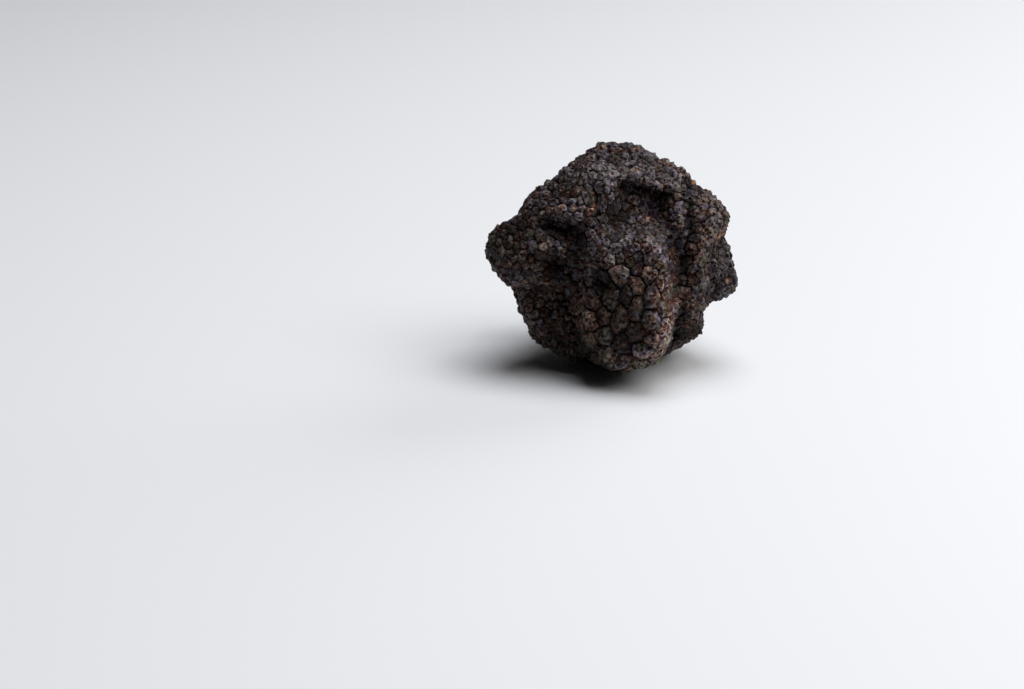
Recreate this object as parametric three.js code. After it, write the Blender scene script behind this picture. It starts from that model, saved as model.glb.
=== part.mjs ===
// A black truffle: one solid, lumpy fruiting body whose whole skin is a crowd of low polygonal warts.
//
// Units are millimetres and +Z is up. The truffle rests on Z = 0 on a small flat spot under its weight,
// and the origin is under the middle of its bounding box. +X and -X are its long way, -Y is its front,
// which holds the large lower lobe, the brow above it and the hollow under the crown.
//
// The body is a distance field of rounded lobes that melt together, and its front is then worked with
// strokes of a round tool, which press hollows and draw out ridges. Wart sites are scattered over that
// skin by a seeded rule, and each wart is a pyramid on the polygon of skin round its site. The fissures
// between warts are the polygons' edges.

import * as THREE from "three";
import { ConvexHull } from "three/addons/math/ConvexHull.js";

// ---------------------------------------------------------------- driving dimensions

// The heart is the point inside from which the whole skin can be seen.
const HEART = new THREE.Vector3(1, 7, 22);
const FARTHEST_SKIN = 40;

// Each lobe is an ellipsoid: its middle, its half sizes, and how wide a wart is on it.
const LOBES = [
  { name: "core", at: [0, 4, 23], half: [17, 16, 17.5], wart: 2.3 },
  { name: "crown", at: [1, 3, 37], half: [10.5, 11, 10.6], wart: 2.6 },
  { name: "crown, right side", at: [9, 4, 36], half: [8.3, 10, 8], wart: 2.5 },
  { name: "left lobe", at: [-18.2, -2, 24.6], half: [7.9, 9, 5.8], wart: 1.9 },
  { name: "left shoulder's middle", at: [-14.5, -1.5, 30.2], half: [6.6, 7.5, 6.6], wart: 2.3 },
  { name: "left slope", at: [-7.5, -4.6, 32], half: [9.5, 9, 7.5], wart: 2.6 },
  { name: "left flank", at: [-12.5, 0, 18], half: [8, 8.5, 9], wart: 1.8 },
  { name: "right upper lobe", at: [17.9, -1.5, 31.9], half: [6.3, 9, 6.6], wart: 2.1 },
  { name: "right lower lobe", at: [18.8, 1.5, 22], half: [7, 8, 7], wart: 1.9 },
  { name: "right lower corner", at: [20.6, -0.5, 17.6], half: [4.8, 6, 3.4], wart: 1.9 },
  { name: "right middle", at: [13, -4.6, 22], half: [7.6, 8.4, 13], wart: 2.3 },
  { name: "right saddle", at: [14, 8, 29], half: [7, 7, 8], wart: 2.1 },
  { name: "right foot", at: [9.5, 5, 11.4], half: [10.2, 11, 10.8], wart: 2.1 },
  { name: "left foot", at: [-7.4, 0, 11.6], half: [10.3, 10, 9.8], wart: 1.8 },
  { name: "back left lobe", at: [-9.5, 13, 25.5], half: [9, 9, 9], wart: 2.1 },
  { name: "back right lobe", at: [9, 14, 23], half: [9.5, 9, 10], wart: 2.1 },
  { name: "back foot", at: [-2, 13, 11], half: [9, 9, 9], wart: 2.2 },
  { name: "seat", at: [1, 2.5, 10], half: [10, 9.5, 11.5], wart: 2.6 },
];

// Ridges are long lobes, rounded bars between two points.
const RIDGES = [
  { name: "front lobe", from: [2.6, -10.8, 12.7], to: [3, -11, 17], radius: 10.2, wart: 4.2 },
  { name: "brow", from: [-2, -10, 28], to: [7, -10.6, 26], radius: 5.6, wart: 2.4 },
  { name: "left shoulder", from: [-5.2, -1, 39.4], to: [-18.5, -2, 26.8], radius: 6, wart: 2.5 },
  { name: "knob", from: [-5, -4.5, 40.6], to: [-0.6, -6, 40.4], radius: 4, wart: 2.6 },
];

// Strokes are drawn over the front, seen square on: each runs between two points given as [x, z] and is
// about twice its radius wide. Its skin moves by so much, which is inwards for +Y.
const STROKES = [
  { name: "hollow under the lip", from: [2.4, 41], to: [10.2, 38.4], radius: 1.6, by: [0, 3.9, 0] },
  { name: "shelf of the hollow", from: [2.4, 36.9], to: [8.4, 36], radius: 2.1, by: [0, 1.7, 0] },
  { name: "foot of the hollow", from: [9.6, 34.2], to: [10.4, 33.6], radius: 1, by: [0, 1, 0] },
  { name: "end of the hollow", from: [12.2, 36.4], to: [13.4, 33.6], radius: 1.5, by: [0, -1.5, 0] },
  { name: "lip", from: [2, 44.2], to: [12, 40], radius: 1.5, by: [0, -2.2, -0.4] },
  { name: "knob's front", from: [-6, 37.8], to: [-2.6, 37.4], radius: 2, by: [0, -1.5, 0] },
  { name: "knob's ridge", from: [-1.6, 42.6], to: [-0.6, 36], radius: 1.5, by: [0, -2, 0] },
  { name: "brow's crest", from: [-2.6, 32.2], to: [9.6, 31.2], radius: 1.5, by: [0, -1.5, 0.3] },
  { name: "brow's right crest", from: [7.2, 31.6], to: [9.6, 28.4], radius: 1.7, by: [0.4, -2.2, 0] },
  { name: "left pit", from: [-12.2, 32.8], to: [-8.8, 32.6], radius: 3, by: [0, 5.4, 0] },
  { name: "rim under the left pit", from: [-14, 29.6], to: [-9, 29.6], radius: 1.4, by: [0, -2, 0] },
  { name: "second pit", from: [-8.6, 29], to: [-7, 28.6], radius: 1.3, by: [0, 2.4, 0] },
  { name: "ledge", from: [-4.2, 32.4], to: [0.8, 25.4], radius: 1.3, by: [0, -1.6, 0] },
  { name: "dip under the ledge", from: [-10, 25], to: [-2.4, 23], radius: 2.8, by: [0, 2.3, 0] },
  { name: "flank under the left lobe", from: [-15, 19], to: [-12, 8], radius: 3.6, by: [0.4, 2.4, 0] },
  { name: "cleft left of the front lobe", from: [-10.2, 18.5], to: [-7, 7], radius: 1.7, by: [0, 1.8, 0] },
  { name: "front lobe's left rim", from: [-6.8, 18.8], to: [-5, 11.5], radius: 1.3, by: [0, -0.6, 0] },
  { name: "front lobe's face", from: [-1.5, 21], to: [-0.5, 13], radius: 4.5, by: [0, 3, 0] },
  { name: "front lobe's right crest", from: [9.2, 27], to: [9.2, 12], radius: 2.2, by: [0.5, -2.9, 0] },
  { name: "crease right of the brow", from: [15.2, 39.6], to: [15.8, 30.4], radius: 0.9, by: [0, 2.4, 0] },
  { name: "crease right of the front lobe", from: [14, 28.5], to: [13.6, 8], radius: 1.2, by: [0, 1.9, 0] },
  { name: "right rib", from: [17.6, 29.4], to: [18.2, 20], radius: 1.3, by: [0, -0.9, 0] },
  { name: "groove behind the rib", from: [20, 28.6], to: [20.8, 17], radius: 1, by: [0, 1.1, 0] },
  { name: "notch under the corner", from: [20.6, 12.6], to: [27, 13.4], radius: 1.5, by: [-1.2, 0, 0.7] },
];
// A stroke has all its force on the front, up to the first of these two y, and none behind the second.
const STROKE_FADE = [-4, 13];

// Waves are long ripples of the whole body, which keep its lobes from looking turned.
const WAVES = { count: 24, shortest: 5, longest: 13, height: 0.4 };

const LOBE_BLEND = 2.6;

const WART_RISE = 0.11; // a wart's tip stands this share of its width above the body
const FISSURE_DEPTH = 0.15; // and the fissure round it is this share below
const WART_SPACING = 0.79; // the nearest two sites may come, as a share of the width
const RISE_SPREAD = 0.5; // tips differ in height by this share
const BACK_WIDTH = 1.7; // warts at the back are so many times wider
const WIDTH_SPREAD = 0.6; // neighbouring warts differ in width by this share
const CORNER_SPREAD = 0.8; // and corners stray this far from the middle of the three warts that meet
const WIDEST_WART = 5.8;
const SKIN_SAMPLES = 30000;
const EVENING_ROUNDS = 1;
const SEED = 11;

// ---------------------------------------------------------------- the body as a distance field

const smoothMin = (a, b, k) => {
  const h = Math.max(k - Math.abs(a - b), 0) / k;
  return Math.min(a, b) - (h * h * k) / 4;
};

function ellipsoidDistance(p, at, half) {
  const [x, y, z] = [p.x - at[0], p.y - at[1], p.z - at[2]];
  const near = Math.hypot(x / half[0], y / half[1], z / half[2]);
  const slope = Math.hypot(x / half[0] ** 2, y / half[1] ** 2, z / half[2] ** 2);
  return near < 1e-6 ? -Math.min(...half) : (near * (near - 1)) / slope;
}

function barDistance(p, from, to, radius) {
  const a = new THREE.Vector3(...from);
  const along = new THREE.Vector3(...to).sub(a);
  const offset = p.clone().sub(a);
  const length = along.lengthSq();
  const t = length > 0 ? THREE.MathUtils.clamp(offset.dot(along) / length, 0, 1) : 0;
  return offset.addScaledVector(along, -t).length() - radius;
}

const lumps = [
  ...LOBES.map((l) => ({ ...l, distance: (p) => ellipsoidDistance(p, l.at, l.half) })),
  ...RIDGES.map((r) => ({ ...r, distance: (p) => barDistance(p, r.from, r.to, r.radius) })),
];

// A small seeded generator, so that every build draws the same numbers.
function drawer(seed) {
  let state = seed >>> 0;
  return () => {
    state = (state + 0x6d2b79f5) >>> 0;
    let t = state;
    t = Math.imul(t ^ (t >>> 15), t | 1);
    t ^= t + Math.imul(t ^ (t >>> 7), t | 61);
    return ((t ^ (t >>> 14)) >>> 0) / 4294967296;
  };
}

const draw = drawer(SEED);

function randomDirection() {
  const z = draw() * 2 - 1;
  const turn = draw() * 2 * Math.PI;
  const flat = Math.sqrt(1 - z * z);
  return new THREE.Vector3(flat * Math.cos(turn), flat * Math.sin(turn), z);
}

const waves = Array.from({ length: WAVES.count }, () => {
  const length = THREE.MathUtils.lerp(WAVES.shortest, WAVES.longest, draw());
  const along = randomDirection().multiplyScalar((2 * Math.PI) / length);
  return { along, phase: draw() * 2 * Math.PI };
});

function bodyDistance(p) {
  let d = Infinity;
  for (const lump of lumps) d = smoothMin(d, lump.distance(p), LOBE_BLEND);
  const share = WAVES.height / Math.sqrt(waves.length / 2);
  for (const wave of waves) d += Math.sin(wave.along.dot(p) + wave.phase) * share;
  return d;
}

// The bare skin along a direction from the heart: walks in from outside until it meets the body.
function skinAlong(direction) {
  const p = new THREE.Vector3();
  let reach = FARTHEST_SKIN;
  for (let i = 0; i < 80; i++) {
    p.copy(HEART).addScaledVector(direction, reach);
    const gap = bodyDistance(p);
    if (gap < 1e-3) break;
    reach -= gap * 0.7;
  }
  return p;
}

// A point of the bare skin, raised straight out of it.
function raised(bare, rise) {
  const step = 0.05;
  const here = bodyDistance(bare);
  const out = new THREE.Vector3();
  for (const axis of [0, 1, 2]) {
    const beside = bare.clone();
    beside.setComponent(axis, bare.getComponent(axis) + step);
    out.setComponent(axis, bodyDistance(beside) - here);
  }
  return bare.clone().addScaledVector(out.normalize(), rise);
}

// Where a point of the bare skin ends up: moved by the strokes, and never below the ground.
function settled(bare) {
  const p = bare.clone();
  const force = 1 - THREE.MathUtils.smoothstep(bare.y, ...STROKE_FADE);
  const seen = new THREE.Vector3(bare.x, 0, bare.z);
  for (const { from, to, radius, by } of STROKES) {
    const away = barDistance(seen, [from[0], 0, from[1]], [to[0], 0, to[1]], 0) / radius;
    p.addScaledVector(new THREE.Vector3(...by), force * Math.exp(-away * away));
  }
  p.z = Math.max(p.z, 0);
  return p;
}

// ---------------------------------------------------------------- wart sites

// How wide a wart is here: every lobe's own width counts, the nearest lobe's most.
function wartWidth(p) {
  let sum = 0;
  let weights = 0;
  for (const lump of lumps) {
    const weight = Math.exp(-lump.distance(p));
    sum += weight * lump.wart;
    weights += weight;
  }
  return (sum / weights) * THREE.MathUtils.lerp(1, BACK_WIDTH, THREE.MathUtils.smoothstep(p.y, 0, 16));
}

function siteAlong(direction) {
  const bare = skinAlong(direction);
  const width = wartWidth(bare) * (1 + WIDTH_SPREAD * (draw() - 0.5));
  return { direction, bare, point: settled(bare), width };
}

// Sites sorted into cubes, so that the ones near a point are found fast.
class Neighbourhood {
  constructor(cubeSize) {
    this.cubeSize = cubeSize;
    this.cubes = new Map();
  }
  cube(point) {
    return point.toArray().map((v) => Math.floor(v / this.cubeSize));
  }
  add(site) {
    const key = this.cube(site.point).join();
    this.cubes.set(key, [...(this.cubes.get(key) ?? []), site]);
  }
  near(point) {
    const [x, y, z] = this.cube(point);
    const found = [];
    for (let i = x - 1; i <= x + 1; i++)
      for (let j = y - 1; j <= y + 1; j++)
        for (let k = z - 1; k <= z + 1; k++)
          found.push(...(this.cubes.get([i, j, k].join()) ?? []));
    return found;
  }
}

// Samples of the skin, spread evenly over all directions and put into a random order.
function sampleSkin() {
  const samples = [];
  for (let i = 0; i < SKIN_SAMPLES; i++) {
    const z = 1 - (2 * i + 1) / SKIN_SAMPLES;
    const turn = i * Math.PI * (3 - Math.sqrt(5));
    const flat = Math.sqrt(1 - z * z);
    samples.push(siteAlong(new THREE.Vector3(flat * Math.cos(turn), flat * Math.sin(turn), z)));
  }
  for (let i = samples.length - 1; i > 0; i--) {
    const j = Math.floor(draw() * (i + 1));
    [samples[i], samples[j]] = [samples[j], samples[i]];
  }
  return samples;
}

// Takes each sample as a site unless another site is already too near it.
function scatterSites(samples) {
  const taken = new Neighbourhood(WIDEST_WART);
  return samples.filter((sample) => {
    const crowded = taken
      .near(sample.point)
      .some((o) => o.point.distanceTo(sample.point) < ((o.width + sample.width) / 2) * WART_SPACING);
    if (!crowded) taken.add(sample);
    return !crowded;
  });
}

// Moves each site to the middle of the skin that is nearer to it than to any other.
function evenOut(sites, samples) {
  const around = new Neighbourhood(WIDEST_WART);
  for (const site of sites) {
    around.add(site);
    site.sum = new THREE.Vector3();
  }
  for (const sample of samples) {
    const gap = (site) => site.point.distanceTo(sample.point);
    const near = around.near(sample.point);
    const home = near.reduce((a, b) => (gap(b) < gap(a) ? b : a), near[0]);
    home?.sum.add(sample.bare).sub(HEART);
  }
  return sites.map((site) => ({ ...siteAlong(site.sum.normalize()), width: site.width }));
}

// ---------------------------------------------------------------- which warts touch

// Joins the sites into triangles. The answer maps each directed side "a to b" of a triangle to its
// third corner, with the triangles running anticlockwise seen from outside.
function joinSites(sites) {
  const index = new Map(sites.map((site, i) => [site.direction, i]));
  const third = new Map();
  const side = (a, b) => a * sites.length + b;
  for (const { edge } of new ConvexHull().setFromPoints(sites.map((s) => s.direction)).faces) {
    const [a, b, c] = [edge, edge.next, edge.next.next].map((e) => index.get(e.head().point));
    third.set(side(a, b), c).set(side(b, c), a).set(side(c, a), b);
  }
  const cornerAngle = (at, to, from) => {
    const p = sites[at].point;
    return sites[to].point.clone().sub(p).angleTo(sites[from].point.clone().sub(p));
  };
  const faceOut = (a, b, c) => {
    const [u, v, w] = [a, b, c].map((i) => sites[i].direction);
    return u.dot(v.clone().cross(w)) > 1e-6;
  };
  // The hull joins neighbours in direction. Turning a side round wherever its two triangles would be
  // fatter that way joins neighbours on the skin itself.
  for (let turned = 1, pass = 0; turned > 0 && pass < 30; pass++) {
    turned = 0;
    for (const key of [...third.keys()]) {
      if (!third.has(key)) continue;
      const a = Math.floor(key / sites.length);
      const b = key % sites.length;
      const c = third.get(key);
      const d = third.get(side(b, a));
      if (cornerAngle(c, a, b) + cornerAngle(d, a, b) <= Math.PI + 1e-6) continue;
      if (third.has(side(c, d)) || !faceOut(a, d, c) || !faceOut(d, b, c)) continue;
      third.delete(side(a, b));
      third.delete(side(b, a));
      third.set(side(a, d), c).set(side(d, c), a).set(side(c, a), d);
      third.set(side(d, b), c).set(side(b, c), d).set(side(c, d), b);
      turned++;
    }
  }
  return third;
}

// ---------------------------------------------------------------- the warty skin

// Every wart is a pyramid. Its tip is its site raised from the body, and the corners of its foot lie in
// the fissures, one in the middle of every three warts that meet.
function wartySkin() {
  const samples = sampleSkin();
  let sites = scatterSites(samples);
  for (let round = 0; round < EVENING_ROUNDS; round++) sites = evenOut(sites, samples);
  const third = joinSites(sites);

  const points = sites.map((site) => {
    const rise = WART_RISE * site.width * (1 + RISE_SPREAD * (draw() - 0.5));
    return settled(raised(site.bare, rise));
  });
  const cornerOf = new Map();
  for (const [key, c] of third) {
    const a = Math.floor(key / sites.length);
    const b = key % sites.length;
    if (a > b || a > c) continue;
    const meeting = [sites[a], sites[b], sites[c]];
    const middle = new THREE.Vector3();
    for (const site of meeting)
      middle.addScaledVector(site.bare.clone().sub(HEART), 1 + CORNER_SPREAD * (draw() - 0.5));
    const width = (meeting[0].width + meeting[1].width + meeting[2].width) / 3;
    for (const [from, to] of [[a, b], [b, c], [c, a]])
      cornerOf.set(from * sites.length + to, points.length);
    points.push(settled(raised(skinAlong(middle.normalize()), -FISSURE_DEPTH * width)));
  }
  const triangles = [];
  for (const key of third.keys()) {
    const a = Math.floor(key / sites.length);
    const b = key % sites.length;
    triangles.push(a, cornerOf.get(b * sites.length + a), cornerOf.get(key));
  }
  return { points, triangles };
}

const { points, triangles } = wartySkin();
const box = new THREE.Box3().setFromPoints(points);
const middle = box.getCenter(new THREE.Vector3());

const geometry = new THREE.BufferGeometry();
geometry.setFromPoints(points);
geometry.setIndex(triangles);
geometry.translate(-middle.x, -middle.y, -box.min.z);
geometry.computeVertexNormals();

const truffle = new THREE.Mesh(
  geometry,
  new THREE.MeshStandardMaterial({ color: 0x2e2929, roughness: 0.85, metalness: 0 }),
);
truffle.name = "truffle";

const group = new THREE.Group();
group.name = "black truffle";
group.add(truffle);

export default group;
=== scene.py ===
# %% [markdown]
# # A black truffle, dressed for its portrait
#
# A black truffle is a hard, lumpy fungus whose skin is a crowd of low polygonal warts with thin,
# near-black fissures between them. The solid that comes with this lesson already has the lumps and one
# plain pyramid for each wart. This script turns those pyramids into real warts, paints them and lights
# them. Lengths are in metres, unless a name or a title says millimetres.

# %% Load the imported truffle, which stays as it is
import math
import random

import bmesh
import bpy
from mathutils import Matrix, Vector
from mathutils.kdtree import KDTree


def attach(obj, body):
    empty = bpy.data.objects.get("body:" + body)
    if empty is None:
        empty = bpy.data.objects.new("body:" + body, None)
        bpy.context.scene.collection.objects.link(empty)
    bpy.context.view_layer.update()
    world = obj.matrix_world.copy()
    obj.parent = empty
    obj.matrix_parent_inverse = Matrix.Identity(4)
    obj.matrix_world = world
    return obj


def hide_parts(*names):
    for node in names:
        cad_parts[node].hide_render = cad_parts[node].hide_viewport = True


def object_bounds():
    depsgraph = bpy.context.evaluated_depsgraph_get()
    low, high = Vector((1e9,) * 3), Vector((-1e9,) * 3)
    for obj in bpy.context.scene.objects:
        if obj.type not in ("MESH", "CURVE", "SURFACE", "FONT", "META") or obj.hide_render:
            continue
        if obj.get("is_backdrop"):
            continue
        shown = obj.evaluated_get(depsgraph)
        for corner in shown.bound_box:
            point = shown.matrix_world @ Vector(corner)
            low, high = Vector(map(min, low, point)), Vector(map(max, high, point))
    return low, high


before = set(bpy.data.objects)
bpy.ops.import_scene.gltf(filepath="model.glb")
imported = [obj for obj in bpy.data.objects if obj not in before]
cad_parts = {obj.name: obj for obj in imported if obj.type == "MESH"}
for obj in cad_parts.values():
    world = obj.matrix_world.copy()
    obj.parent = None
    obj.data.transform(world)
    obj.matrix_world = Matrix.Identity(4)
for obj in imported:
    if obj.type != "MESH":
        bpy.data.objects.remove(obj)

MM = 0.001
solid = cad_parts["truffle"]
solid_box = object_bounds()
print("solid box in mm:", [[round(c / MM, 2) for c in corner] for corner in solid_box])

# %% [markdown]
# ## Finding the warts in the solid
#
# The solid is a closed net of triangles, and each triangle runs from the tip of one wart down to two
# corners of its foot. Nothing in the mesh says which point is a tip, but the net itself does: a foot
# corner lies where three warts meet, so it has six edges, always. A point with five or seven edges has
# to be a tip. From one known tip the walk is simple, since the point on the far side of a foot edge is
# the tip of the next wart.

# %% Weld a copy of the solid and walk from tip to tip
WELD_DISTANCE = 1e-6
EDGES_OF_A_SURE_TIP = (5, 7)


def welded_copy(source):
    mesh = bmesh.new()
    mesh.from_mesh(source.data)
    bmesh.ops.remove_doubles(mesh, verts=mesh.verts, dist=WELD_DISTANCE)
    mesh.normal_update()
    mesh.verts.index_update()
    return mesh


def across(edge, face):
    """The face on the other side of an edge."""
    return next(other for other in edge.link_faces if other is not face)


def find_tips(mesh):
    sure = (v for v in mesh.verts if len(v.link_edges) in EDGES_OF_A_SURE_TIP)
    first = max(sure, key=lambda v: v.co.z)
    tips, waiting = {first}, [first]
    while waiting:
        tip = waiting.pop()
        for face in tip.link_faces:
            foot = next(e for e in face.edges if tip not in e.verts)
            for vert in across(foot, face).verts:
                if vert not in foot.verts and vert not in tips:
                    tips.add(vert)
                    waiting.append(vert)
    return {tip.index for tip in tips}


skin = welded_copy(solid)
tips = find_tips(skin)
lone = sum(1 for face in skin.faces if sum(v.index in tips for v in face.verts) != 1)
print(len(skin.faces), "triangles,", len(tips), "warts,", lone, "triangles without exactly one tip")

# %% [markdown]
# ## Noting down what each wart knows
#
# The warts are shaped by Geometry Nodes further on, and a node tree can only read what is stored on the
# mesh. So each point keeps its share of the way from fissure to tip, and the outward direction of the
# plain skin under it. Each triangle keeps its wart's tip, its width, a number drawn by lot, and how far
# the wart stands out from the ones round it, which is above nought on a ridge and below it in a hollow.
# The width is measured down the slopes, as twice the mean way from the tip to the corners of the foot,
# so it comes out larger than the foot is across.
# A value on a face can jump from one wart to the next, and a value on a point can't, which is why the
# wart's own values live on faces.

# %% Store the share, the outward direction, the tip, the width, the lot and the standing
LOT_SEED = 4
RIDGE_REACH = 5.5 * MM


def standing_of(mesh, tips):
    """For each tip, how far it stands over the tips within reach, as a share of the reach."""
    mesh.verts.ensure_lookup_table()
    crowd = KDTree(len(tips))
    for i in tips:
        crowd.insert(mesh.verts[i].co, i)
    crowd.balance()
    standing = {}
    for i in tips:
        tip = mesh.verts[i]
        near = [spot for spot, _, _ in crowd.find_range(tip.co, RIDGE_REACH)]
        over = [(tip.co - spot).dot(tip.normal) for spot in near]
        standing[i] = sum(over) / len(over) / RIDGE_REACH
    return standing


def note_warts(mesh, tips):
    share = mesh.verts.layers.float.new("tip_share")
    outward = mesh.verts.layers.float_vector.new("outward")
    tip_at = mesh.faces.layers.float_vector.new("tip_at")
    width = mesh.faces.layers.float.new("wart_width")
    lot = mesh.faces.layers.float.new("wart_lot")
    stands = mesh.faces.layers.float.new("stands_out")
    for vert in mesh.verts:
        vert[share] = 1.0 if vert.index in tips else 0.0
        vert[outward] = vert.normal
    draw = random.Random(LOT_SEED)
    standing = standing_of(mesh, tips)
    widths = []
    for tip in (mesh.verts[i] for i in sorted(tips)):
        feet = [edge.other_vert(tip) for edge in tip.link_edges]
        across_wart = 2 * sum((foot.co - tip.co).length for foot in feet) / len(feet)
        chance = draw.random()
        for face in tip.link_faces:
            face[tip_at] = tip.co
            face[width] = across_wart
            face[lot] = chance
            face[stands] = standing[tip.index]
        widths.append(across_wart / MM)
    return widths


widths = note_warts(skin, tips)
print(f"slope widths in mm: {min(widths):.2f} to {max(widths):.2f}, mean {sum(widths) / len(widths):.2f}")

# %% [markdown]
# ## Enough points to bend
#
# A wart of a few plain triangles can only be a pyramid. Cutting every edge in five turns each triangle
# into twenty-five, which is enough for a steep side, a rounded shoulder and a dimple. Cutting moves
# nothing: the new points lie on the old triangles, and the notes are carried over to them.

# %% Cut every edge in five
CUTS = 4
MOST_TRIANGLES = 200000

bmesh.ops.subdivide_edges(skin, edges=skin.edges[:], cuts=CUTS, use_grid_fill=True)
bmesh.ops.triangulate(skin, faces=skin.faces[:])
net = bpy.data.meshes.new("truffle_skin")
skin.to_mesh(net)
skin.free()
truffle = bpy.data.objects.new("truffle_skin", net)
bpy.context.scene.collection.objects.link(truffle)
print(len(net.vertices), "points and", len(net.polygons), "triangles, of at most", MOST_TRIANGLES)

# %% [markdown]
# ## Wiring a node tree from Python
#
# A node tree is a recipe drawn as boxes and wires. These helpers keep the wiring short: one places a
# node with its settings, one feeds its inputs, and the rest chain simple sums. An input is fed with
# another node's output or with a plain number.

# %% Helpers that place, feed and reckon
def place(tree, kind, **settings):
    node = tree.nodes.new(kind)
    for name, value in settings.items():
        setattr(node, name, value)
    return node


def feed(tree, node, **inputs):
    """Feeds the inputs called i0, i1... by number, and the others by name."""
    for key, value in inputs.items():
        by_number = key[0] == "i" and key[1:].isdigit()
        socket = node.inputs[int(key[1:]) if by_number else key]
        if isinstance(value, bpy.types.NodeSocket):
            tree.links.new(value, socket)
        else:
            socket.default_value = value
    return node


def do_math(tree, what, a, b=0.0):
    node = place(tree, "ShaderNodeMath", operation=what)
    return feed(tree, node, i0=a, i1=b).outputs[0]


def plus(tree, a, b):
    return do_math(tree, "ADD", a, b)


def minus(tree, a, b):
    return do_math(tree, "SUBTRACT", a, b)


def times(tree, a, b):
    return do_math(tree, "MULTIPLY", a, b)


def do_vector(tree, what, a, b=(0, 0, 0), scale=None):
    node = place(tree, "ShaderNodeVectorMath", operation=what)
    feed(tree, node, i0=a)
    if scale is None:
        feed(tree, node, i1=b)
    else:
        feed(tree, node, Scale=scale)
    return node.outputs["Value" if what == "LENGTH" else "Vector"]


print("helpers ready")

# %% [markdown]
# ## Patterns and chances
#
# A ramp turns one range of values into another, a curve does so along a bent line, and a noise is a
# cloudy pattern that is about a half on the whole. A wart needs more than one number of its own, and
# multiplying its first one and keeping what is behind the point gives as many as there are multipliers.

# %% Helpers that make patterns and numbers
def ramp(tree, value, low, high, to_low=0.0, to_high=1.0, smooth=False):
    kind = "SMOOTHSTEP" if smooth else "LINEAR"
    node = place(tree, "ShaderNodeMapRange", interpolation_type=kind)
    return feed(tree, node, i0=value, i1=low, i2=high, i3=to_low, i4=to_high).outputs[0]


def curve(tree, value, points):
    node = place(tree, "ShaderNodeFloatCurve")
    line = node.mapping.curves[0]
    for extra in points[1:-1]:
        line.points.new(*extra)
    line.points[0].location = points[0]
    line.points[-1].location = points[-1]
    for point in line.points:
        point.handle_type = "VECTOR"
    node.mapping.update()
    return feed(tree, node, Value=value).outputs[0]


def noise(tree, at, size, detail, colour=False):
    """A cloudy pattern whose clouds are about this size, in the units of the point it is read at."""
    node = place(tree, "ShaderNodeTexNoise")
    feed(tree, node, Vector=at, Scale=1 / size, Detail=detail)
    return node.outputs["Color" if colour else 0]


def middled(tree, value):
    """A noise is about a half on the whole, and this makes that nought."""
    return minus(tree, value, 0.5)


def own_number(tree, lot, multiplier):
    """Another number drawn by lot for each wart, made from its first one."""
    return do_math(tree, "FRACT", times(tree, lot, multiplier))


print("pattern helpers ready")

# %% [markdown]
# ## The sizes of a wart
#
# A real wart has a steep side, a shoulder, and a low roof that is sunk at its tip, where the young
# fungus had a hair. Ribs run down its sides, small knobs break it up, and it leans a little. Each size
# below is a named input of the node tree, and is a share of the wart's width unless its name says
# millimetres. The tree also reads the notes that were left on the mesh.

# %% The inputs, and the notes that the tree reads
WART_SIZES = {
    "Shoulder height": 0.06,
    "Fissure depth": 0.11,
    "Dimple depth": 0.08,
    "Rib height": 0.15,
    "Lean": 0.12,
    "Stagger": 0.035,
    "Knob height mm": 0.30,
    "Unevenness mm": 0.20,
    "Grit mm": 0.10,
}


def wart_notes(tree):
    def noted(label, kind="FLOAT"):
        node = place(tree, "GeometryNodeInputNamedAttribute", data_type=kind)
        return feed(tree, node, Name=label).outputs["Attribute"]

    here = place(tree, "GeometryNodeInputPosition").outputs[0]
    tip = noted("tip_at", "FLOAT_VECTOR")
    return {
        "here": here,
        "here_mm": do_vector(tree, "SCALE", here, scale=1 / MM),
        "tip": tip,
        "tip_mm": do_vector(tree, "SCALE", tip, scale=1 / MM),
        "outward": noted("outward", "FLOAT_VECTOR"),
        "share": noted("tip_share"),
        "width": noted("wart_width"),
        "lot": noted("wart_lot"),
    }


print(len(WART_SIZES), "sizes")

# %% [markdown]
# ## A narrow fissure
#
# On a pyramid the side takes the whole way from the fissure to the tip, but a real wart has a short,
# steep side. So each point slides outwards on its own line from the tip, which crowds the points round the
# foot and leaves most of the wart to its roof. The curve says where a point ends up for each share of
# the way that it started with.

# %% Slide the points outwards
SLIDE = [(0, 0), (0.2, 0.1), (0.4, 0.29), (0.6, 0.52), (0.8, 0.76), (1, 1)]
LEAST_LEFT = 0.001


def slid_outwards(tree, at):
    left = minus(tree, 1.0, curve(tree, at["share"], SLIDE))
    was_left = do_math(tree, "MAXIMUM", minus(tree, 1.0, at["share"]), LEAST_LEFT)
    from_tip = do_vector(tree, "SUBTRACT", at["here"], at["tip"])
    spread = do_vector(tree, "SCALE", from_tip, scale=do_math(tree, "DIVIDE", left, was_left))
    return do_vector(tree, "ADD", at["tip"], spread)


print("slide ready")

# %% [markdown]
# ## A roof with a dimple, and ribs
#
# A point is lifted off the pyramid by a profile that depends on its share of the way to the tip: down in
# the fissure, up at the shoulder, and down again at the tip of some warts. The ribs are a noise that is
# read at the direction from the tip and not at the place, so each one runs straight down the side. The
# tip's own place is added to it, or every wart would have the same ribs.

# %% The height of a wart
ROOF = [(0, 0), (0.2, 0.65), (0.4, 0.95), (0.6, 0.95), (0.8, 0.6), (1, 0.2)]
ROOF_LOWEST, ROOF_HIGHEST = 0.6, 1.4
TRENCH_EDGE = 0.2
DIMPLE_EDGE = 0.75
DIMPLE_DRAW = 7.31
NO_DIMPLE_UNDER = 0.4
DEEPEST_DIMPLE = 1.8
RIB_BELT = [(0, 0.3), (0.2, 1), (0.6, 1), (0.8, 0.6), (1, 0)]
RIB_SPACING = 0.4
RIB_SHUFFLE = 7.0


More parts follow.
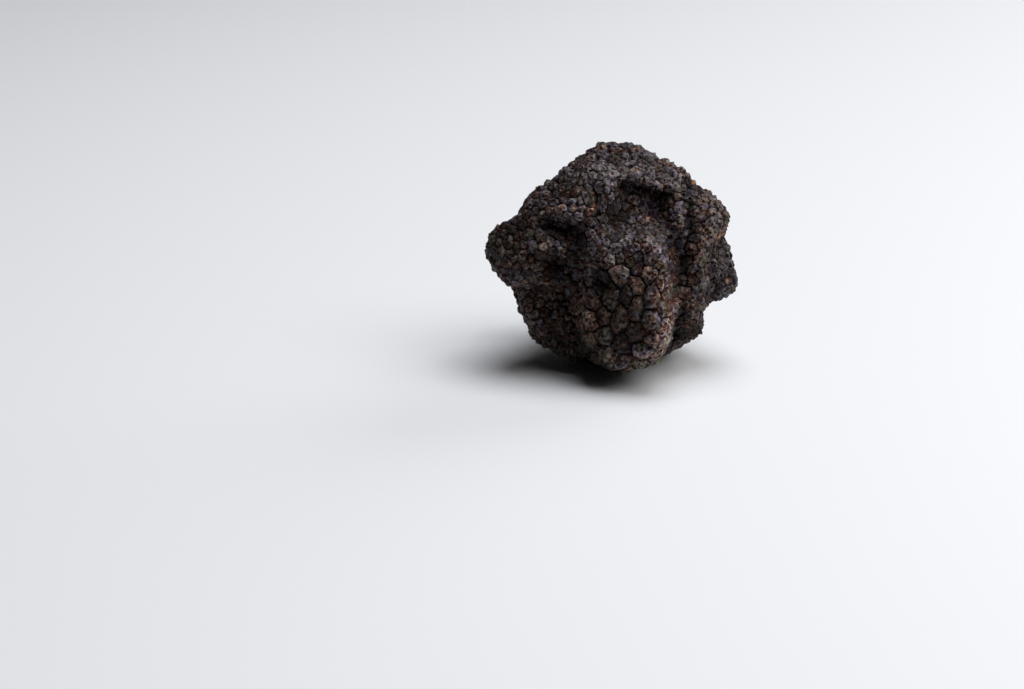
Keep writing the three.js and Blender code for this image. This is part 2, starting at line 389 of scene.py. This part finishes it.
def wart_height(tree, at, given):
    share, lot = at["share"], at["lot"]
    height = times(tree, curve(tree, share, ROOF), given["Shoulder height"])
    height = times(tree, height, ramp(tree, lot, 0, 1, ROOF_LOWEST, ROOF_HIGHEST))
    trench = times(tree, ramp(tree, share, 0, TRENCH_EDGE, 1, 0), given["Fissure depth"])
    height = plus(tree, minus(tree, height, trench), rib_height(tree, at, given))
    dimple = times(tree, ramp(tree, share, DIMPLE_EDGE, 1), given["Dimple depth"])
    chance = own_number(tree, lot, DIMPLE_DRAW)
    dimple = times(tree, dimple, ramp(tree, chance, NO_DIMPLE_UNDER, 1, 0, DEEPEST_DIMPLE))
    return times(tree, minus(tree, height, dimple), at["width"])


def rib_height(tree, at, given):
    from_tip = do_vector(tree, "NORMALIZE", do_vector(tree, "SUBTRACT", at["here"], at["tip"]))
    shuffle = do_vector(tree, "SCALE", at["tip_mm"], scale=RIB_SHUFFLE)
    rib = middled(tree, noise(tree, do_vector(tree, "ADD", from_tip, shuffle), RIB_SPACING, 1))
    return times(tree, times(tree, rib, curve(tree, at["share"], RIB_BELT)), given["Rib height"])


print("roof and ribs ready")

# %% [markdown]
# ## Knobs, stagger, lean and grit
#
# No wart is regular. Knobs are cells of their own, smaller than most warts. Some warts stand over their
# neighbours and some are sunk among them, each leans its own way, and the whole surface is uneven.

# %% What makes each wart its own
SWING = 2 * MM  # a noise swings a half either way, so this makes it a whole millimetre either way
KNOB_SPACING_MM = 0.9
KNOB_EDGE = 0.45
KNOB_SMOOTHNESS = 0.2
RANK_DRAW = 13.7
RANK_EDGE, RANK_STRENGTH = 0.2, 2
LEAN_STRENGTH = 2.5
LEAN_GRAIN_MM = 0.7
UNEVEN_GRAIN_MM = 1.3
GRIT_GRAIN_MM = 0.45
HALVES = (0.5, 0.5, 0.5)


def knob_height(tree, at, given):
    cells = place(tree, "ShaderNodeTexVoronoi", feature="SMOOTH_F1")
    feed(tree, cells, Vector=at["here_mm"], Scale=1 / KNOB_SPACING_MM, Smoothness=KNOB_SMOOTHNESS)
    knob = minus(tree, KNOB_EDGE, cells.outputs["Distance"])
    return times(tree, knob, times(tree, given["Knob height mm"], SWING))


def rank_height(tree, at, given):
    rank = middled(tree, own_number(tree, at["lot"], RANK_DRAW))
    rank = times(tree, rank, times(tree, given["Stagger"], at["width"]))
    return times(tree, rank, ramp(tree, at["share"], 0, RANK_EDGE, 0, RANK_STRENGTH))


def lean(tree, at, given):
    cloud = noise(tree, at["tip_mm"], LEAN_GRAIN_MM, 0, colour=True)
    way = do_vector(tree, "SUBTRACT", cloud, HALVES)
    reach = times(tree, times(tree, given["Lean"], at["width"]), at["share"])
    return do_vector(tree, "SCALE", way, scale=times(tree, reach, LEAN_STRENGTH))


def wobble(tree, at_mm, size_mm, detail, amount_mm):
    cloud = noise(tree, at_mm, size_mm, detail, colour=True)
    centred = do_vector(tree, "SUBTRACT", cloud, HALVES)
    return do_vector(tree, "SCALE", centred, scale=times(tree, amount_mm, SWING))


print("knobs, rank, lean and wobble ready")

# %% [markdown]
# ## The whole wart tree
#
# The tree adds the steps up and moves every point once. Nothing may go below the ground that the truffle
# stands on, so a point that would is lifted back to it. The tree ends in Realize Instances and Set
# Material, which leave plain triangles with a finish.

# %% Put the steps together
def wart_tree(name):
    tree = bpy.data.node_groups.new(name, "GeometryNodeTree")
    face = tree.interface
    face.new_socket("Geometry", in_out="INPUT", socket_type="NodeSocketGeometry")
    face.new_socket("Skin", in_out="INPUT", socket_type="NodeSocketMaterial")
    for label in WART_SIZES:
        face.new_socket(label, in_out="INPUT", socket_type="NodeSocketFloat")
    face.new_socket("Geometry", in_out="OUTPUT", socket_type="NodeSocketGeometry")
    given = place(tree, "NodeGroupInput").outputs

    shaped = place(tree, "GeometryNodeSetPosition")
    feed(tree, shaped, Geometry=given["Geometry"], Offset=whole_offset(tree, given))
    smooth = place(tree, "GeometryNodeSetShadeSmooth")
    feed(tree, smooth, Geometry=kept_above_ground(tree, shaped.outputs[0]))
    real = feed(tree, place(tree, "GeometryNodeRealizeInstances"), Geometry=smooth.outputs[0])
    painted = feed(tree, place(tree, "GeometryNodeSetMaterial"), Geometry=real.outputs[0])
    feed(tree, painted, Material=given["Skin"])
    feed(tree, place(tree, "NodeGroupOutput"), i0=painted.outputs[0])
    return tree


def whole_offset(tree, given):
    at = wart_notes(tree)
    height = plus(tree, wart_height(tree, at, given), knob_height(tree, at, given))
    lift = do_vector(tree, "SCALE", at["outward"], scale=height)
    rank = do_vector(tree, "SCALE", at["outward"], scale=rank_height(tree, at, given))
    steps = (
        do_vector(tree, "ADD", lift, rank),
        lean(tree, at, given),
        wobble(tree, at["here_mm"], UNEVEN_GRAIN_MM, 2, given["Unevenness mm"]),
        wobble(tree, at["here_mm"], GRIT_GRAIN_MM, 1, given["Grit mm"]),
    )
    offset = do_vector(tree, "SUBTRACT", slid_outwards(tree, at), at["here"])
    for step in steps:
        offset = do_vector(tree, "ADD", offset, step)
    return offset


def kept_above_ground(tree, geometry):
    split = place(tree, "ShaderNodeSeparateXYZ")
    feed(tree, split, i0=place(tree, "GeometryNodeInputPosition").outputs[0])
    above = place(tree, "ShaderNodeCombineXYZ")
    height = do_math(tree, "MAXIMUM", split.outputs[2], 0.0)
    feed(tree, above, i0=split.outputs[0], i1=split.outputs[1], i2=height)
    level = place(tree, "GeometryNodeSetPosition")
    return feed(tree, level, Geometry=geometry, Position=above.outputs[0]).outputs[0]


warts = wart_tree("truffle warts")
print(len(warts.nodes), "nodes in", warts.name)

# %% [markdown]
# ## Places painted paler or darker, for light and shade and for tone
#
# The lobes aren't all equally dark, and nothing in the mesh tells which is which. So the places that
# differ are listed, and each has a number of stops, as on a camera: one stop up doubles the colour and
# one down halves it. The numbers were found by trial under the lights of this scene, so they aren't all
# skin: they are partly the skin's own tone and partly painted light and shade. Painted shade darkens the
# left lobe and flank, the front lobe's face, the pits and the feet, and painted light brightens the
# crest, the brow, the knob and the floor of the hollow. The broad panels leave the floor of the hollow
# darker, and the feet brighter, than they should look, and the largest numbers make up for that. Under
# other lights those few places may look too pale or too dark.

# %% The places that are paler or darker, in millimetres
# Each has its middle, its reach and its stops, which make it paler above nought and darker below.
# Partly skin tone and partly painted light and shade: painted shade on lobes, pits and feet, painted light
# on crest, brow and knob.
PLACES_OF_PAINTED_LIGHT_AND_TONE = {
    "left lobe": ((-21, -6, 28), (9, 9, 8), -1.1),
    "second pit": ((-8.5, -13, 29), (3.5, 5, 3), -0.7),
    "dip under the ledge": ((-5, -14, 23.5), (4, 6, 4.5), -0.6),
    "front lobe's face": ((-1.5, -20, 18), (8, 6, 8), -0.9),
    "front lobe's left foot": ((-7, -12, 5), (8, 9, 6.5), -2.1),
    "front lobe's crest": ((10.4, -17, 17), (3.6, 7, 14), 1.5),
    "left pit's roof": ((-11, -4, 33.4), (3.8, 5, 1.6), 1.3),
    "left pit's floor": ((-10.8, -8, 30.2), (4.0, 4, 1.9), -0.3),
    "front lobe's left rim": ((-8, -13, 15), (3, 5, 6), 0.7),
    "left flank": ((-12, -8, 12), (8, 9, 11), -0.45),
    "under the lip": ((6, -5, 39.4), (6, 5, 2.2), 0.7),
    "right lower lobe": ((21.8, -2, 20.3), (6, 8, 6), -0.25),
    "right foot": ((17.8, -2, 10), (6, 8, 6), -1.6),
    "floor of the hollow": ((7, -8, 36.5), (4.4, 6, 3), 1.9),
    "hollow's left end": ((-0.5, -6, 40.2), (3, 5, 3.2), -0.9),
    "right of the brow": ((12.6, -7, 32), (3, 6, 6), -0.15),
    "brow": ((4, -14, 31), (8, 6, 4), 0.4),
    "under the brow": ((4, -16, 27.6), (6, 6, 3), 0.7),
    "knob": ((-5, -9, 39), (5, 6, 6), 1.2),
    "left of the crown": ((-2, -4, 46), (7, 7, 4), 0.3),
}
CLOUD_STOPS = 0.4
FULL_TONE_TO, NO_TONE_FROM = 0.3, 1.4


def how_far_out(tree, here_mm, middle, reach):
    """Nought at the middle of a place and one at its reach."""
    offset = do_vector(tree, "DIVIDE", do_vector(tree, "SUBTRACT", here_mm, middle), reach)
    return do_vector(tree, "LENGTH", offset)


def painted_light_and_tone(tree, here_mm, cloud):
    """The factor that paints the colour paler or darker here, for tone and for light and shade, with a
    wandering border.
    """
    stops = times(tree, middled(tree, cloud), CLOUD_STOPS)
    for middle, reach, amount in PLACES_OF_PAINTED_LIGHT_AND_TONE.values():
        away = plus(tree, how_far_out(tree, here_mm, middle, reach), middled(tree, cloud))
        change = ramp(tree, away, FULL_TONE_TO, NO_TONE_FROM, amount, 0, smooth=True)
        stops = plus(tree, stops, change)
    return do_math(tree, "POWER", 2.0, stops)


print(len(PLACES_OF_PAINTED_LIGHT_AND_TONE), "places of painted light and tone")

# %% [markdown]
# ## Grazes, and a grey that is bloom and painted sheen
#
# On a few small grazes the tan under-skin shows, and a greyish cast lies on the crown and on parts of
# the right side, where the light falls: partly a bloom and partly painted sheen. Both need no more than
# a mask round each place.

# %% The grazes, and the places of bloom and painted sheen, in millimetres
GRAZES = {
    "right upper lobe": ((22, -5.5, 29.8), (1.7, 2.6, 2)),
    "right lower lobe": ((23.9, -3, 19.6), (0.7, 6, 0.7)),
    "brow's corner": ((6.6, -17, 26.8), (0.6, 6, 0.6)),
    "right shoulder": ((17, -2, 39.6), (1.0, 6, 1.0)),
    "knob": ((-4.4, -10, 38), (0.6, 6, 0.8)),
}
# Grey on the crown and the right side, where the light falls: partly bloom, partly painted sheen.
BLOOM_AND_SHEEN_PLACES = {
    "crown": ((0, 0, 38), (20, 40, 20)),
    "right lower lobe": ((22, -1, 21), (9, 12, 9)),
    "right of the brow": ((14, -6, 29), (5, 8, 8)),
}
BLOOM_AND_SHEEN_WANDER = 0.8
SPOT_EDGE = (0.5, 1.0)


def near_any(tree, here_mm, places, wander=0.0):
    """One at the middle of each place and nought past its edge, which may wander."""
    mask = 0.0
    for middle, reach in places.values():
        away = plus(tree, how_far_out(tree, here_mm, middle, reach), wander)
        mask = do_math(tree, "MAXIMUM", ramp(tree, away, *SPOT_EDGE, 1, 0), mask)
    return mask


print(len(GRAZES), "grazes and", len(BLOOM_AND_SHEEN_PLACES), "places of bloom and sheen")

# %% [markdown]
# ## The patterns on the skin
#
# What is painted on a truffle follows something: the fissures follow the feet of the warts, the pale
# scurf sits on their shoulders and ribs in flakes, the hairs left rusty scars near their tips, and dark
# dots lie about like seeds. Each pattern below is read from the notes on the mesh, from the place on
# the truffle, or from both. The specks, the streaks and the dots serve for the colours and the relief.

# %% The masks and the noises
SPECK_MM = 0.95
FINE_MM = 0.22
FLAKE_MM = 0.8
HUE_MM = 2.2
CLOUD_MM = 5.0
DOT_SPACING_MM = 1.0
STREAK_SPACING = 0.6
STREAK_SHUFFLE = 7 / MM
STREAK_BEND = 0.25
FRAYING = 0.5
FLAKE_EDGE = (0.51, 0.60)
DOT_EDGE = (0.26, 0.46)
FISSURE_EDGE = (0.0, 0.24)
RIM_STARTS, RIM_ENDS = (0.35, 0.5), (0.6, 0.8)
RIDGE_EDGE = (0.02, 0.2)
HOLLOW_EDGE = (-0.2, 0.05)
FLAKE_SHIFT, RED_SHIFT, GREEN_SHIFT = (0, 0, 90), (40, 0, 0), (0, 40, 0)


def shifted_noise(tree, here_mm, shift_mm, size_mm, detail):
    return noise(tree, do_vector(tree, "ADD", here_mm, shift_mm), size_mm, detail)


def streaks(tree, here, here_mm, tip):
    """Streaks run from the tip down the sides of a wart, because they change mostly with direction."""
    from_tip = do_vector(tree, "NORMALIZE", do_vector(tree, "SUBTRACT", here, tip))
    own = do_vector(tree, "ADD", from_tip, do_vector(tree, "SCALE", tip, scale=STREAK_SHUFFLE))
    own = do_vector(tree, "ADD", own, do_vector(tree, "SCALE", here_mm, scale=STREAK_BEND))
    return noise(tree, own, STREAK_SPACING, 1)


def skin_patterns(tree):
    def noted(label, what="Fac"):
        return place(tree, "ShaderNodeAttribute", attribute_name=label).outputs[what]

    share, stands, tip = noted("tip_share"), noted("stands_out"), noted("tip_at", "Vector")
    here = place(tree, "ShaderNodeTexCoord").outputs["Object"]
    here_mm = do_vector(tree, "SCALE", here, scale=1 / MM)
    speck = noise(tree, here_mm, SPECK_MM, 1.6)
    cloud = noise(tree, here_mm, CLOUD_MM, 3)
    cells = place(tree, "ShaderNodeTexVoronoi")
    feed(tree, cells, Vector=here_mm, Scale=1 / DOT_SPACING_MM)
    frayed = plus(tree, share, times(tree, middled(tree, speck), FRAYING))
    flakes = shifted_noise(tree, here_mm, FLAKE_SHIFT, FLAKE_MM, 1)
    wander = times(tree, middled(tree, cloud), BLOOM_AND_SHEEN_WANDER)
    return {
        "share": share,
        "lot": noted("wart_lot"),
        "speck": speck,
        "cloud": cloud,
        "fine": noise(tree, here_mm, FINE_MM, 2),
        "streak": streaks(tree, here, here_mm, tip),
        "flake": ramp(tree, flakes, *FLAKE_EDGE),
        "red": shifted_noise(tree, here_mm, RED_SHIFT, HUE_MM, 2),
        "green": shifted_noise(tree, here_mm, GREEN_SHIFT, HUE_MM, 2),
        "dot": ramp(tree, cells.outputs["Distance"], *DOT_EDGE, 1, 0),
        "fissure": ramp(tree, frayed, *FISSURE_EDGE, 1, 0),
        "rim": times(tree, ramp(tree, frayed, *RIM_STARTS), ramp(tree, frayed, *RIM_ENDS, 1, 0)),
        "ridge": ramp(tree, stands, *RIDGE_EDGE),
        "hollow": ramp(tree, stands, *HOLLOW_EDGE, 1, 0),
        "bloom and sheen": near_any(tree, here_mm, BLOOM_AND_SHEEN_PLACES, wander),
        "graze": near_any(tree, here_mm, GRAZES),
        "painted light and tone": painted_light_and_tone(tree, here_mm, cloud),
    }


print("patterns ready")

# %% [markdown]
# ## Three hues, from dry to damp to black
#
# Seen close, a black truffle isn't black. The roofs of its warts are mauve, olive and rusty browns that
# change from one wart to the next, and even the fissures lean to blue, green or red. Where the skin is
# damp it has much the same hues, only far darker. So one choice of hue, made from two noises and from
# the wart's own numbers, picks from three sets of three colours. On the crown and the right side the dry
# set turns grey, partly as bloom and partly as painted sheen of the light that falls there.

# %% The hue of each place
# The near-black of the fissures is partly the skin's own dark and partly painted shade, where shade falls
# between the warts.
FISSURE_BLUE = (0.0032, 0.0034, 0.0068)
FISSURE_GREEN = (0.0060, 0.0050, 0.0022)
FISSURE_RED = (0.0145, 0.0030, 0.0018)
DAMP_BROWN = (0.024, 0.0066, 0.0042)
DAMP_SLATE = (0.0105, 0.0085, 0.0125)
DAMP_OLIVE = (0.0140, 0.0100, 0.0044)
DRY_MAUVE = (0.090, 0.070, 0.090)
DRY_OLIVE = (0.080, 0.072, 0.036)
DRY_RUST = (0.090, 0.044, 0.032)
BLOOM_AND_SHEEN_GREY = (0.079, 0.067, 0.083)

HUE_EDGE = (0.47, 0.54)
WARTS_SAY_IN_HUE = 0.14
BLOOM_AND_SHEEN_LESS_RED = -0.12
BLOOM_AND_SHEEN_COVER = 0.7
GREEN_DRAW = 9.1
RED_DRAW = 5.3


def mix(tree, mask, low, high):
    """The first colour where the mask is nought and the second where it is one."""
    node = place(tree, "ShaderNodeMix", data_type="RGBA")
    low, high = ((*colour, 1) if isinstance(colour, tuple) else colour for colour in (low, high))
    return feed(tree, node, i0=mask, i6=low, i7=high).outputs[2]


def hues(tree, on):
    """The dry, the damp and the black colour of each place, and how reddish it is."""
    def with_own_number(pattern, draw):
        own = middled(tree, own_number(tree, on["lot"], draw))
        return plus(tree, pattern, times(tree, own, WARTS_SAY_IN_HUE))

    is_green = ramp(tree, with_own_number(on["green"], GREEN_DRAW), *HUE_EDGE)
    reddish = with_own_number(on["red"], RED_DRAW)
    reddish = plus(tree, reddish, times(tree, on["bloom and sheen"], BLOOM_AND_SHEEN_LESS_RED))
    is_red = ramp(tree, reddish, *HUE_EDGE)

    dry = mix(tree, is_green, DRY_MAUVE, DRY_OLIVE)
    # The grey here is partly bloom and partly painted sheen.
    dry = mix(tree, times(tree, on["bloom and sheen"], BLOOM_AND_SHEEN_COVER), dry, BLOOM_AND_SHEEN_GREY)
    dry = mix(tree, is_red, dry, DRY_RUST)
    damp = mix(tree, is_red, mix(tree, is_green, DAMP_SLATE, DAMP_OLIVE), DAMP_BROWN)
    black = mix(tree, is_red, mix(tree, is_green, FISSURE_BLUE, FISSURE_GREEN), FISSURE_RED)
    return dry, damp, black, reddish


print("hues ready")

# %% [markdown]
# ## The skin's colours, one over the other
#
# How dry the skin is depends on the wart, on clouds, specks and streaks, and on whether it stands on a
# ridge or in a hollow: a ridge is partly drier skin and partly painted light, and a hollow partly damper
# skin and partly painted shade. A pale scurf lies mostly over the dry parts, the dimples and the dots
# are a dark rust, then come the grazes and the painted light and tone of the place. The fissures are
# laid on last, so nothing lightens them, and their near-black is partly the skin's and partly painted
# shade.

# %% The colour of the skin
SCURF_CREAM = (0.355, 0.258, 0.198)
SCURF_MAUVE = (0.262, 0.225, 0.240)
DOT_BROWN = (0.024, 0.0040, 0.0026)
DIMPLE_BROWN = (0.024, 0.007, 0.004)
WORN_TAN = (0.40, 0.20, 0.12)

CLOUD_SAYS, WART_SAYS = 0.5, 0.8
SPECK_SAYS, STREAK_SAYS = 1.8, 1.7
# A ridge is painted paler, partly as drier skin and partly as painted light, and a hollow darker, partly
# as damper skin and partly as painted shade.
RIDGE_DRIER_AND_LIT, HOLLOW_DAMPER_AND_SHADED = 0.5, -0.2
TONE_DRAW = 3.7
ALL_DAMP, ALL_DRY = -0.4, 0.7
DOT_SHARE_OF_BROWN = 0.7
RIB_SCURF_EDGE, RIB_SCURF = (0.54, 0.64), 0.6
FLAKE_SCURF, RIM_SCURF = 0.9, 0.1
SCURF_DRYNESS = (-0.1, 0.9)
LEAST_SCURF, MOST_SCURF = 0.08, 0.8
SCURF_HUE_EDGE = (0.43, 0.54)
SCAR_FRAYING = 1.2
SCAR_EDGE = (0.7, 1.0)
SCARRED_DRAWS = (0.6, 0.9)
GRAZE_SPECKS = (0.38, 0.5)


def dryness_and_painted_light(tree, on):
    own = own_number(tree, on["lot"], TONE_DRAW)
    cloud = times(tree, middled(tree, on["cloud"]), CLOUD_SAYS)
    tone = plus(tree, cloud, times(tree, middled(tree, own), WART_SAYS))
    speck = times(tree, middled(tree, on["speck"]), SPECK_SAYS)
    streak = times(tree, middled(tree, on["streak"]), STREAK_SAYS)
    tone = plus(tree, tone, plus(tree, speck, streak))
    # Painted light on the ridges and painted shade in the hollows, along with drier and damper skin.
    tone = plus(tree, tone, times(tree, on["ridge"], RIDGE_DRIER_AND_LIT))
    return plus(tree, tone, times(tree, on["hollow"], HOLLOW_DAMPER_AND_SHADED))


def scurf_cover(tree, on, tone):
    """Scurf lies on the ribs and in flakes, with a little along the rim, and more where it is dry."""
    ribs = times(tree, ramp(tree, on["streak"], *RIB_SCURF_EDGE), RIB_SCURF)
    flakes = plus(tree, times(tree, on["flake"], FLAKE_SCURF), times(tree, on["rim"], RIM_SCURF))
    cover = do_math(tree, "MAXIMUM", ribs, flakes)
    return times(tree, cover, ramp(tree, tone, *SCURF_DRYNESS, LEAST_SCURF, MOST_SCURF))


def scar_cover(tree, on):
    """Scars lie round the tips of the warts that have a deep dimple."""
    near_tip = plus(tree, on["share"], times(tree, middled(tree, on["speck"]), SCAR_FRAYING))
    deep = ramp(tree, own_number(tree, on["lot"], DIMPLE_DRAW), *SCARRED_DRAWS)
    return times(tree, ramp(tree, near_tip, *SCAR_EDGE), deep)


def skin_colour(tree, on):
    dry, damp, black, reddish = hues(tree, on)
    tone = dryness_and_painted_light(tree, on)
    colour = mix(tree, ramp(tree, tone, ALL_DAMP, ALL_DRY), damp, dry)
    scurf = mix(tree, ramp(tree, reddish, *SCURF_HUE_EDGE), SCURF_MAUVE, SCURF_CREAM)
    colour = mix(tree, scurf_cover(tree, on, tone), colour, scurf)
    colour = mix(tree, scar_cover(tree, on), colour, DIMPLE_BROWN)
    colour = mix(tree, on["dot"], colour, mix(tree, DOT_SHARE_OF_BROWN, black, DOT_BROWN))
    grazed = times(tree, on["graze"], ramp(tree, on["speck"], *GRAZE_SPECKS))
    colour = mix(tree, grazed, colour, WORN_TAN)
    # Painted light and shade, with some skin tone, place by place.
    colour = do_vector(tree, "SCALE", colour, scale=on["painted light and tone"])
    # The fissures' near-black: partly skin, partly painted shade.
    return mix(tree, on["fissure"], colour, black)


print("colours ready")

# %% [markdown]
# ## The material
#
# The skin is dry and dull with a faint sheen that changes from speck to speck, so its roughness follows
# the specks and its mirror shine is set low. A bump adds relief, in millimetres. It reads the specks,
# the streaks and the dots that the colours read too, and a finer grain of its own.

# %% The skin's finish
SMOOTHEST, ROUGHEST = 0.35, 0.7
SHINE = 0.14
SHEEN_SPECKS = (0.3, 0.7)
RELIEF_MM = {"speck": 0.5, "streak": 0.16, "fine": 0.02, "dot": -0.25}


def skin_material():
    made = bpy.data.materials.new("truffle skin")
    made.use_nodes = True
    tree = made.node_tree
    shader = tree.nodes["Principled BSDF"]
    on = skin_patterns(tree)
    roughness = ramp(tree, on["speck"], *SHEEN_SPECKS, SMOOTHEST, ROUGHEST)
    tree.links.new(skin_colour(tree, on), shader.inputs["Base Color"])
    tree.links.new(roughness, shader.inputs["Roughness"])
    shader.inputs["Specular IOR Level"].default_value = SHINE

    relief = 0.0
    for pattern, height_mm in RELIEF_MM.items():
        relief = plus(tree, times(tree, on[pattern], height_mm), relief)
    bump = feed(tree, place(tree, "ShaderNodeBump"), Strength=1.0, Distance=1 * MM, Height=relief)
    tree.links.new(bump.outputs[0], shader.inputs["Normal"])
    return made


skin_finish = skin_material()
print(skin_finish.name, "has", len(skin_finish.node_tree.nodes), "nodes")

# %% [markdown]
# ## Growing the warts
#
# The modifier reads its inputs by the identifier of each socket. Once it has run, its result is copied
# to a plain mesh, so that nothing live is left on the piece that stands for the solid.

# %% Run the tree and keep its mesh
grow = truffle.modifiers.new("warts", "NODES")
grow.node_group = warts
for item in warts.interface.items_tree:
    if item.in_out == "INPUT" and item.name in WART_SIZES:
        grow[item.identifier] = WART_SIZES[item.name]
    if item.in_out == "INPUT" and item.name == "Skin":
        grow[item.identifier] = skin_finish

grown = truffle.evaluated_get(bpy.context.evaluated_depsgraph_get())
plain = bpy.data.meshes.new_from_object(grown)
plain.name = "truffle_skin"
truffle.modifiers.clear()
truffle.data = plain
print(len(plain.vertices), "points,", len(plain.polygons), "triangles,", len(plain.materials), "material")

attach(truffle, "root")
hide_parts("truffle")

# %% [markdown]
# ## A table to stand on
#
# A plain pale floor goes on past the view on every side. It lies a hair below the truffle, so that the
# flat spot and the floor never fight for the same place.

# %% The floor
FLOOR_HALF = 3.0
FLOOR_DROP = 0.02 * MM
FLOOR_COLOUR = (0.78, 0.79, 0.82, 1)
FLOOR_ROUGHNESS = 0.6


def pale_floor():
    sheet = bmesh.new()
    bmesh.ops.create_grid(sheet, x_segments=1, y_segments=1, size=FLOOR_HALF)
    flat = bpy.data.meshes.new("floor")
    sheet.to_mesh(flat)
    sheet.free()
    flat.transform(Matrix.Translation((0, 0, -FLOOR_DROP)))
    finish = bpy.data.materials.new("pale floor")
    finish.use_nodes = True
    shader = finish.node_tree.nodes["Principled BSDF"]
    shader.inputs["Base Color"].default_value = FLOOR_COLOUR
    shader.inputs["Roughness"].default_value = FLOOR_ROUGHNESS
    flat.materials.append(finish)
    floor = bpy.data.objects.new("floor", flat)
    bpy.context.scene.collection.objects.link(floor)
    floor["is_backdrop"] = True
    return floor


print(pale_floor().name, "of", 2 * FLOOR_HALF, "m")

# %% [markdown]
# ## Soft light from above
#
# A studio lights a dark, rough thing from large sources, because a small one would only make glints and
# hard shadows. So a broad panel hangs overhead, which leaves a soft dark pool under the lobes that hang
# over. A second panel high on the right models the lobes, and a third, low behind the right side,
# catches the edges of the ridges. The room itself looks pale to the camera, but gives next to no light,
# so the pool stays dark where truffle and floor meet.

# %% Three panels and a pale room
PANEL_DISTANCE = 0.9
PANEL_AIM = Vector((0, 0, 24 * MM))
COOL_WHITE = (0.96, 0.98, 1.0)
WARM_WHITE = (1.0, 0.99, 0.97)
PANELS = {
    "overhead panel": {"towards": (0.12, 0.03, 1.0), "size": 0.65, "watts": 6.1, "colour": COOL_WHITE},
    "right panel": {"towards": (0.72, -0.3, 1.0), "size": 0.75, "watts": 4.6, "colour": WARM_WHITE},
    "back panel": {"towards": (0.75, 0.75, 0.45), "size": 0.7, "watts": 3.4, "colour": WARM_WHITE},
}
ROOM_COLOUR = (0.95, 0.96, 1.0, 1)
ROOM_LIGHT = 0.01
ROOM_SEEN = 0.55


def soft_panel(name, towards, size, watts, colour):
    lamp = bpy.data.lights.new(name, "AREA")
    lamp.shape = "DISK"
    lamp.size = size
    lamp.energy = watts
    lamp.color = colour
    held = bpy.data.objects.new(name, lamp)
    way = Vector(towards).normalized()
    held.location = PANEL_AIM + way * PANEL_DISTANCE
    held.rotation_mode = "QUATERNION"
    held.rotation_quaternion = way.to_track_quat("Z", "Y")
    bpy.context.scene.collection.objects.link(held)


def pale_room():
    world = bpy.data.worlds.new("pale room")
    world.use_nodes = True
    air = world.node_tree
    background = air.nodes["Background"]
    background.inputs["Color"].default_value = ROOM_COLOUR
    seen = place(air, "ShaderNodeLightPath").outputs["Is Camera Ray"]
    air.links.new(ramp(air, seen, 0, 1, ROOM_LIGHT, ROOM_SEEN), background.inputs["Strength"])
    bpy.context.scene.world = world


for name, panel in PANELS.items():
    soft_panel(name, **panel)
pale_room()
bpy.context.scene.view_settings.view_transform = "Standard"
print(len(PANELS), "panels and a pale room")

# %% [markdown]
# ## The camera
#
# A long lens from just above keeps the lobes in proportion. The truffle sits right of the middle, so the
# camera's place is worked out backwards: from the point that it aims at, the pixel where that point
# should be, and how deep in the view it lies.

# %% Place the camera
VIEW_WIDTH, VIEW_HEIGHT = 1024, 689
LENS_MM, SENSOR_MM = 100, 36
FOCAL_PIXELS = VIEW_WIDTH * LENS_MM / SENSOR_MM
PITCH = math.radians(18.9)
AIM = Vector((0, 0, 23.5 * MM))
AIM_PIXEL = (612, 258)
AIM_DEPTH = 596 * MM
NEAREST_SEEN = 0.01


def portrait_camera():
    eye = bpy.data.cameras.new("camera")
    eye.lens = LENS_MM
    eye.clip_start = NEAREST_SEEN
    camera = bpy.data.objects.new("camera", eye)
    ahead = Vector((0, math.cos(PITCH), -math.sin(PITCH)))
    up = Vector((0, math.sin(PITCH), math.cos(PITCH)))
    across_view = (AIM_PIXEL[0] - VIEW_WIDTH / 2) / FOCAL_PIXELS
    up_view = (VIEW_HEIGHT / 2 - AIM_PIXEL[1]) / FOCAL_PIXELS
    ray = ahead + Vector((1, 0, 0)) * across_view + up * up_view
    camera.location = AIM - ray * AIM_DEPTH
    camera.rotation_euler = (math.pi / 2 - PITCH, 0, 0)
    bpy.context.scene.collection.objects.link(camera)
    bpy.context.scene.camera = camera
    return camera


camera = portrait_camera()
print("camera at", [round(c, 4) for c in camera.location])

# %% [markdown]
# ## The solid's box and the dressed one
#
# The dressed truffle is meant to be as large as the solid it stands for, so both boxes are printed.

# %% Print both boxes and finish
shown_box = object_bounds()
for name, box in (("solid", solid_box), ("shown", shown_box)):
    print(name, "box in mm:", [[round(c / MM, 2) for c in corner] for corner in box])
